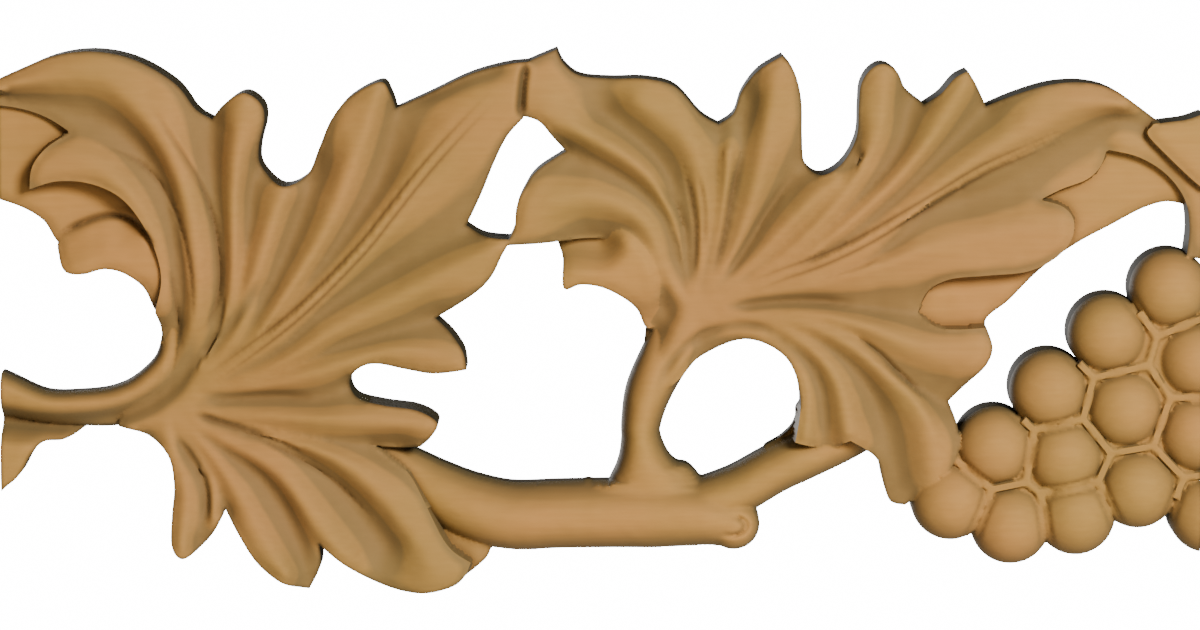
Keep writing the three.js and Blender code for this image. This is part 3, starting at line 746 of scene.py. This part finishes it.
def drawn_lines(forms):
    """Points and edges of every outline that shows, with a second line where it steps down."""
    points, edges = [], []
    for form in forms:
        loop = form.loop
        others = [other for other in forms if other is not form]
        along = np.roll(loop, -1, axis=0) - np.roll(loop, 1, axis=0)
        outward = np.column_stack([along[:, 1], -along[:, 0]])
        outward /= np.maximum(np.hypot(*outward.T), TINY)[:, None]
        outward *= -np.sign(loop_area(loop))
        foot = loop + STEP_WIDTH * outward
        own = form.heights(loop)
        under = np.max([other.heights(loop) for other in others], axis=0)
        below = np.max([other.heights(foot) for other in others], axis=0)
        shows = own > under - SAME_HEIGHT
        steps = shows & (below > 0) & ~inside(foot, loop)
        for line, kept in ((loop, shows), (foot, steps)):
            numbers = np.cumsum(kept) - 1 + sum(len(part) for part in points)
            points.append(line[kept])
            following = np.roll(np.arange(len(loop)), -1)
            both = kept & kept[following]
            edges.extend(zip(numbers[both].tolist(), numbers[following[both]].tolist()))
    return np.vstack(points), edges


def offset_line(line, distance):
    along = np.gradient(line, axis=0)
    side = np.column_stack([-along[:, 1], along[:, 0]])
    return line + distance * side / np.hypot(*side.T)[:, None]


def kept_runs(line, kept):
    """The stretches of a line whose points are kept, each as a line of its own."""
    changes = np.flatnonzero(np.diff(kept.astype(int))) + 1
    runs = zip(np.split(line, changes), np.split(kept, changes))
    return [run for run, run_kept in runs if run_kept[0] and len(run) > 1]


def guide_lines(forms):
    """Lines that the facets follow: creases, the midribs' grooves and the fine cuts."""
    lines = []
    for leaf, form in ((LEFT_LEAF, forms["left_leaf"]), (MIDDLE_LEAF, forms["middle_leaf"])):
        midrib = smooth_line(leaf["midrib"])
        for crease in leaf["ribs"][1 - leaf["first_crest"]::2]:
            line = even_line(smooth_line(crease))
            apart = distances(line, leaf["heart"]) > HEART_CLEARANCE
            apart &= line_gap(line, midrib)[0] > MIDRIB_CLEARANCE
            lines.extend(kept_runs(line, apart & inside(line, form.loop)))
        for side in (-MIDRIB_GROOVE_GAP, 0, MIDRIB_GROOVE_GAP):
            line = even_line(offset_line(midrib, side))
            lines.extend(kept_runs(line, inside(line, form.loop)))
    for cut_line, depth, width in THIN_CUTS:
        line = even_line(smooth_line(cut_line))
        lines.extend(kept_runs(line, held_by(forms.values(), line)))
    return lines + ridge_lines()


def ridge_lines():
    """Both edges and both feet of the narrow ridge between each two grapes."""
    centres = np.array(GRAPE_CENTRES, float)
    reach = np.arange(-GRAPE_RADIUS, GRAPE_RADIUS, CELL)[:, None]
    lines = []
    for i, one in enumerate(centres):
        for other in centres[i + 1:]:
            span = other - one
            length = np.hypot(*span)
            if length < NEIGHBOUR_SPAN * GRAPE_RADIUS:
                across, along = span / length, np.array([-span[1], span[0]]) / length
                for offset in (-RIDGE_FOOT, -RIDGE_HALF_WIDTH, RIDGE_HALF_WIDTH, RIDGE_FOOT):
                    line = (one + other) / 2 + offset * across + reach * along
                    pair = np.sort([distances(line, one), distances(line, other)], axis=0)
                    kept = np.isclose(nearest_grapes(line), pair).all(0)
                    kept &= pair[0] < GRAPE_RADIUS
                    lines.extend(kept_runs(line, kept))
    return lines


def loop_area(loop):
    x, y = loop.T
    return (x * np.roll(y, -1) - y * np.roll(x, -1)).sum() / 2


def nearest_gaps(points, targets):
    """Distance from each point to the nearest of the targets."""
    tree = kdtree.KDTree(len(targets))
    for i, (x, y) in enumerate(targets):
        tree.insert((x, y, 0), i)
    tree.balance()
    return np.array([tree.find((x, y, 0))[2] for x, y in points])


def lattice(forms, lines):
    """Evenly spread points inside the forms, clear of the drawn lines."""
    rows = np.arange(*DRAWING_ROWS, CELL * math.sqrt(3) / 2)
    columns = np.arange(0, DRAWING_LENGTH, CELL)
    x, y = np.meshgrid(columns, rows)
    x = x + (np.arange(len(rows)) % 2)[:, None] * CELL / 2
    points = np.column_stack([x.ravel(), y.ravel()])
    points = points[held_by(forms, points)]
    return points[nearest_gaps(points, lines) > CLEAR_SHARE * CELL]


def triangulate(points, edges):
    """Triangles over points that keep the given edges, as arrays of points and corners."""
    result = geometry.delaunay_2d_cdt(
        [Vector(point) for point in points], edges, [], 0, MERGE_GAP, False)
    return np.array([tuple(v) for v in result[0]]), np.array(result[2])


def carved_top(forms):
    """Points, heights, triangles and highest forms of the surface, seen from the front."""
    lines, edges = drawn_lines(list(forms.values()))
    ends = np.arange(*DRAWING_ROWS, CELL)
    square_ends = [np.column_stack([np.full(len(ends), float(x)), ends])
                   for x in (0, DRAWING_LENGTH)]
    for line in [*square_ends, *guide_lines(forms)]:
        first = len(lines)
        lines = np.vstack([lines, line])
        edges.extend((first + i, first + i + 1) for i in range(len(line) - 1))
    names = np.array(list(forms))
    forms = list(forms.values())
    points, triangles = triangulate(np.vstack([lines, lattice(forms, lines)]), edges)
    corners = points[triangles]
    centres = corners.mean(axis=1)
    longest = np.linalg.norm(corners - np.roll(corners, 1, axis=1), axis=2).max(axis=1)
    held = held_by(forms, centres) & (longest < LONGEST_EDGE)
    held &= (centres[:, 0] > 0) & (centres[:, 0] < DRAWING_LENGTH)
    triangles = triangles[held]
    used, triangles = np.unique(triangles, return_inverse=True)
    triangles = triangles.reshape(-1, 3)
    points = points[used]
    heights, number = joined_heights(points, forms)
    tops = names[number]
    soft = np.char.startswith(tops, "plain") | np.char.endswith(tops, "leaf")
    softened = smoothed(heights, triangles, SOFTENING_STEPS, SAME_SURFACE)
    heights = np.where(soft, softened, heights) - cut_depth(points, CUTS)
    heights = heights - CHISEL_DEPTH * (1 + chisel_marks(points)) / 2
    return points, heights, triangles, tops


def triangle_edges(triangles):
    return np.vstack([triangles[:, [0, 1]], triangles[:, [1, 2]], triangles[:, [2, 0]]])


def rim_edges(triangles):
    """Edges that belong to one triangle only, each in that triangle's direction."""
    edges = triangle_edges(triangles)
    inverse, counts = np.unique(np.sort(edges, axis=1), axis=0, return_inverse=True,
                                return_counts=True)[1:]
    return edges[counts[inverse.ravel()] == 1]


def smoothed(heights, triangles, steps, largest_drop=np.inf):
    """The heights, each drawn towards its neighbours', though not across a larger drop."""
    edges = triangle_edges(triangles)
    edges = edges[np.abs(heights[edges[:, 0]] - heights[edges[:, 1]]) < largest_drop]
    start, end = edges.T
    count = len(heights)
    links = np.bincount(start, minlength=count) + np.bincount(end, minlength=count)
    result = heights.copy()
    for step in range(steps):
        total = (np.bincount(start, result[end], minlength=count)
                 + np.bincount(end, result[start], minlength=count))
        result = np.where(links > 0, total / np.maximum(links, 1), heights)
    return result


def depth_below(heights, triangles, steps, reach, largest_drop=np.inf):
    """From 0 on crests to 1 well below a smoothed surface, which may stop at steps."""
    surface = smoothed(heights, triangles, steps, largest_drop)
    return np.clip((surface - heights) / reach, 0, 1)


def to_frame(points, heights):
    """Drawing points and heights to places in the frame, in metres."""
    x = (points[:, 0] - ORIGIN[0]) * UNIT
    z = (ORIGIN[1] - points[:, 1]) * UNIT
    return np.column_stack([x, -heights * MILLIMETRE, z])


def painted_shade_values(points, heights, triangles, tops, rim_points):
    """Shares of each painted shade at the points, by their names: shade in hollows, cuts,
    crevices and along the rim.
    """
    hollows, crevices = np.ones(len(points)), np.ones(len(points))
    for prefix, (hollow_share, crevice_share) in PAINTED_SHADE_SHARES.items():
        hollows[np.char.startswith(tops, prefix)] = hollow_share
        crevices[np.char.startswith(tops, prefix)] = crevice_share
    hollows *= depth_below(heights, triangles, HOLLOW_STEPS, HOLLOW_DEPTH, SAME_SURFACE)
    crevices *= depth_below(heights, triangles, CREVICE_STEPS, CREVICE_DEPTH)
    hollows[np.char.endswith(tops, "leaf")] += LEAF_OLIVE_TINT
    # Broad cuts darken their hollows with the same painted shade
    hollows = np.maximum(hollows, cut_depth(points, BROAD_CUTS) / FULL_SHADE_DEPTH)
    rim = 1 - smooth_step(nearest_gaps(points, points[rim_points]) / RIM_WIDTH)
    return {"hollow": hollows, "cut": groove_shade(points), "crevice": crevices, "rim": rim}


def moulding_mesh(forms):
    """Closed mesh: carved front, straight sides and flat back."""
    points, heights, triangles, tops = carved_top(forms)
    rim = rim_edges(triangles)
    rim_points, rim_corners = np.unique(rim, return_inverse=True)
    rim_corners = rim_corners.reshape(-1, 2)
    count, rim_count = len(points), len(rim_points)
    back_points, back_triangles = triangulate(points[rim_points], rim_corners.tolist())
    centres = back_points[back_triangles].mean(axis=1)
    held = enclosed(centres, points[rim[:, 0]], points[rim[:, 1]])
    back_triangles = back_triangles[held] + count
    vertices = np.vstack([
        to_frame(points, heights),
        to_frame(points[rim_points], np.zeros(rim_count)),
    ])
    sides = np.column_stack([rim[:, 1], rim[:, 0],
                             rim_corners[:, 0] + count, rim_corners[:, 1] + count])
    faces = [*triangles[:, ::-1].tolist(), *back_triangles.tolist(),
             *sides[:, ::-1].tolist()]
    mesh = bpy.data.meshes.new(NODE + "_carved")
    mesh.from_pydata(vertices.tolist(), [], faces)
    # The painted shade shares go on the points, one attribute each
    for name, values in painted_shade_values(points, heights, triangles, tops, rim_points).items():
        painted_shade = mesh.attributes.new(name, "FLOAT", "POINT")
        values = np.concatenate([values, np.zeros(rim_count)])
        painted_shade.data.foreach_set("value", values.astype(np.float32))
    at_end = np.isin(points[rim], (0, DRAWING_LENGTH))[:, :, 0].all(axis=1)
    materials = np.concatenate([
        np.full(len(triangles), FRONT), np.full(len(back_triangles), BACK),
        np.where(at_end, BACK, SIDES)])
    mesh.polygons.foreach_set("material_index", materials.astype(np.int32))
    mesh.polygons.foreach_set("use_smooth", np.ones(len(mesh.polygons), bool))
    mesh.update()
    mesh.set_sharp_from_angle(angle=SHARP_ANGLE)
    return mesh


def carved_forms():
    forms = {f"limb_{i}": limb_form(limb) for i, limb in enumerate(LIMBS)}
    forms["knot"] = knot_form()
    forms.update({f"plain_{i}": plain_form(part) for i, part in enumerate(PLAIN_PARTS)})
    forms["left_leaf"] = leaf_form(LEFT_LEAF)
    forms["middle_leaf"] = leaf_form(MIDDLE_LEAF)
    forms["grape_bed"] = bed_form()
    for i, centre in enumerate(GRAPE_CENTRES):
        forms[f"grape_{i}"] = grape_form(centre)
    return forms


# Materials

def linear(red, green, blue):
    """Shader colour of a screen colour given from 0 to 255."""
    def channel(value):
        share = value / 255
        return share / 12.92 if share <= 0.04045 else ((share + 0.055) / 1.055) ** 2.4
    return (channel(red), channel(green), channel(blue), 1)


def grey(share):
    return (share, share, share, 1)


FLAT_FACING = 0.97           # a surface that faces the front this squarely counts as flat
COOL, WARM = (0.88, 0.96, 0.86, 1), (1.08, 1.0, 1.0, 1)  # ends of the wood's uneven tone
FIBRE_HEIGHT = 0.0001        # metres
GLOSS = 0.2
FLOOR_ROUGHNESS = 0.9
FIBRE_STOPS = (0.25, 0.75)   # the noise's values where the two ends of a tone are reached
TONE_STOPS = (0.35, 0.65)


class Nodes:
    """A material's node tree, with short calls to add and join nodes."""

    def __init__(self, name):
        self.material = bpy.data.materials.new(name)
        self.material.use_nodes = True
        self.tree = self.material.node_tree
        self.shader = self.tree.nodes["Principled BSDF"]

    def add(self, kind, **settings):
        node = self.tree.nodes.new(kind)
        for name, value in settings.items():
            setattr(node, name, value)
        return node

    def join(self, start, end):
        self.tree.links.new(start, end)

    def fibres(self, scale, stretch, detail=4):
        """Noise drawn out along the grain, which runs along the moulding."""
        place = self.add("ShaderNodeTexCoord")
        mapping = self.add("ShaderNodeMapping")
        mapping.inputs["Scale"].default_value = (1 / stretch, 1, 1)
        noise = self.add("ShaderNodeTexNoise")
        noise.inputs["Scale"].default_value = scale
        noise.inputs["Detail"].default_value = detail
        self.join(place.outputs["Object"], mapping.inputs["Vector"])
        self.join(mapping.outputs["Vector"], noise.inputs["Vector"])
        return noise.outputs["Fac"]

    def slope(self, steepness, share):
        """Painted shade on slopes: 0 where the surface faces the front, rising to a share where
        it is steep.
        """
        place = self.add("ShaderNodeTexCoord")
        parts = self.add("ShaderNodeSeparateXYZ")
        facing = self.add("ShaderNodeMath", operation="ABSOLUTE")
        self.join(place.outputs["Normal"], parts.inputs[0])
        self.join(parts.outputs["Y"], facing.inputs[0])
        return self.ramp(facing.outputs[0], (1 - steepness, FLAT_FACING), grey(share), grey(0))

    def ramp(self, value, stops, start, end):
        """Colour that runs from start to end while a value goes from stop to stop."""
        node = self.add("ShaderNodeValToRGB")
        for element, stop, colour in zip(node.color_ramp.elements, stops, (start, end)):
            element.position, element.color = stop, colour
        self.join(value, node.inputs["Fac"])
        return node.outputs["Color"]

    def mix(self, share, one, other, blend="MIX"):
        node = self.add("ShaderNodeMix", data_type="RGBA", blend_type=blend)
        for socket, value in ((node.inputs[0], share), (node.inputs[6], one),
                              (node.inputs[7], other)):
            if isinstance(value, bpy.types.NodeSocket):
                self.join(value, socket)
            else:
                socket.default_value = value
        return node.outputs[2]


def wood_material(name, light, dark, roughness, bump, painted_shades=(), slope_shade=None):
    """Bare wood: fine fibres, broad uneven tone, and painted shade that darkens hollows, cuts,
    crevices, rims and slopes.

    Each painted shade is its attribute's name, the value that counts as full, its share there
    and its colour.
    The slope's painted shade is a steepness, the share that it reaches there, and a colour.
    """
    nodes = Nodes(name)
    fibres = nodes.fibres(scale=1100, stretch=14)
    broad = nodes.fibres(scale=38, stretch=1.6, detail=2)
    tone = nodes.ramp(fibres, FIBRE_STOPS, dark, light)
    warmth = nodes.ramp(broad, TONE_STOPS, COOL, WARM)
    tone = nodes.mix(1.0, tone, warmth, "MULTIPLY")
    for shade_attribute, full, share, colour in painted_shades:
        depth = nodes.add("ShaderNodeAttribute", attribute_name=shade_attribute)
        painted_shade = nodes.ramp(depth.outputs["Fac"], (0, full), grey(0), grey(share))
        tone = nodes.mix(painted_shade, tone, colour)
    if slope_shade:
        tone = nodes.mix(nodes.slope(*slope_shade[:2]), tone, slope_shade[2])
    nodes.join(tone, nodes.shader.inputs["Base Color"])
    nodes.shader.inputs["Roughness"].default_value = roughness
    nodes.shader.inputs["Specular IOR Level"].default_value = GLOSS
    relief = nodes.add("ShaderNodeBump")
    relief.inputs["Strength"].default_value = bump
    relief.inputs["Distance"].default_value = FIBRE_HEIGHT
    nodes.join(fibres, relief.inputs["Height"])
    nodes.join(relief.outputs["Normal"], nodes.shader.inputs["Normal"])
    return nodes.material


# The scene round the moulding

CAMERA_DISTANCE = 1.2
CAMERA_AZIMUTH = math.radians(0.3)
CAMERA_ELEVATION = math.radians(5.2)
SENSOR = 36.0
FRONT_DEPTH = 0.008          # metres from the back to the plane that fills the frame
FLOOR_DROP = 0.12
FLOOR_SIZE = 1.2


def direction(azimuth, elevation):
    """Unit vector away from the moulding: azimuth 0 is in front, and 90 degrees is right."""
    return Vector((math.sin(azimuth) * math.cos(elevation),
                   -math.cos(azimuth) * math.cos(elevation), math.sin(elevation)))


def aim(name, data, target, towards, distance):
    """Adds a camera or lamp at a distance from its target, facing it."""
    body = bpy.data.objects.new(name, data)
    body.location = target + towards * distance
    body.rotation_euler = (-towards).to_track_quat("-Z", "Y").to_euler()
    bpy.context.collection.objects.link(body)
    return body


def place_camera():
    middle = np.array([[DRAWING_LENGTH / 2, DRAWING_HEIGHT / 2]])
    target = Vector(to_frame(middle, np.array([FRONT_DEPTH / MILLIMETRE]))[0])
    towards = direction(CAMERA_AZIMUTH, CAMERA_ELEVATION)
    camera = bpy.data.cameras.new("camera")
    camera.sensor_width = SENSOR
    camera.lens = SENSOR * CAMERA_DISTANCE / (DRAWING_LENGTH * UNIT)
    bpy.context.scene.camera = aim("camera", camera, target, towards, CAMERA_DISTANCE)


def place_light(name, azimuth, elevation, distance, size, power):
    lamp = bpy.data.lights.new(name, "AREA")
    lamp.size = size
    lamp.energy = power
    towards = direction(math.radians(azimuth), math.radians(elevation))
    aim(name, lamp, Vector(), towards, distance)


def light_world(background, ambient):
    """White backdrop for the camera, and a weaker even light for everything else."""
    world = bpy.data.worlds.new("studio")
    world.use_nodes = True
    tree = world.node_tree
    shown, fill = tree.nodes["Background"], tree.nodes.new("ShaderNodeBackground")
    for light, strength in ((shown, background), (fill, ambient)):
        light.inputs["Strength"].default_value = strength
        light.inputs["Color"].default_value = grey(1)
    path = tree.nodes.new("ShaderNodeLightPath")
    mix = tree.nodes.new("ShaderNodeMixShader")
    tree.links.new(path.outputs["Is Camera Ray"], mix.inputs[0])
    tree.links.new(fill.outputs[0], mix.inputs[1])
    tree.links.new(shown.outputs[0], mix.inputs[2])
    tree.links.new(mix.outputs[0], tree.nodes["World Output"].inputs["Surface"])
    bpy.context.scene.world = world


def place_floor():
    mesh = bpy.data.meshes.new("floor")
    half = FLOOR_SIZE / 2
    height = node_low.z - FLOOR_DROP
    corners = [(-half, -half), (half, -half), (half, half), (-half, half)]
    mesh.from_pydata([(x, y, height) for x, y in corners], [], [(0, 1, 2, 3)])
    floor = bpy.data.objects.new("floor", mesh)
    nodes = Nodes("pale_floor")
    nodes.shader.inputs["Base Color"].default_value = linear(236, 234, 230)
    nodes.shader.inputs["Roughness"].default_value = FLOOR_ROUGHNESS
    mesh.materials.append(nodes.material)
    bpy.context.collection.objects.link(floor)


def place_moulding():
    """The carved moulding, its materials in the order front, sides and back."""
    mesh = moulding_mesh(carved_forms())
    # Painted shade on the front: olive in hollows, brown in cuts and crevices, near black along
    # the rim, olive brown on steep slopes
    hollow_shade_olive, shade_brown, rim_shade_black = linear(124, 106, 66), linear(96, 66, 32), linear(52, 46, 26)
    mesh.materials.append(wood_material(
        "carved_wood_front", linear(208, 152, 80), linear(200, 144, 74),
        roughness=0.7, bump=0.15,
        painted_shades=[("hollow", 1.0, 0.6, hollow_shade_olive), ("cut", 1.0, 0.6, shade_brown),
                ("crevice", 0.8, 0.75, shade_brown), ("rim", 1.0, 0.75, rim_shade_black)],
        slope_shade=(0.65, 0.7, linear(112, 98, 64))))
    # The sides are painted a dark olive brown that stands in for their shade
    mesh.materials.append(wood_material(
        "carved_wood_sides_painted_shade", linear(72, 62, 38), linear(55, 48, 29), roughness=0.8, bump=0.5))
    mesh.materials.append(wood_material(
        "carved_wood_back", linear(196, 156, 110), linear(172, 134, 92),
        roughness=0.7, bump=0.6))
    moulding = bpy.data.objects.new("carved_moulding", mesh)
    bpy.context.collection.objects.link(moulding)
    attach(moulding, "root")
    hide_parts(NODE)


place_camera()
place_light("key_light", azimuth=26, elevation=21, distance=1.4, size=0.4, power=21.5)
place_light("back_light", azimuth=200, elevation=2, distance=1.4, size=0.6, power=12)
light_world(background=16.0, ambient=0.12)
place_floor()
place_moulding()
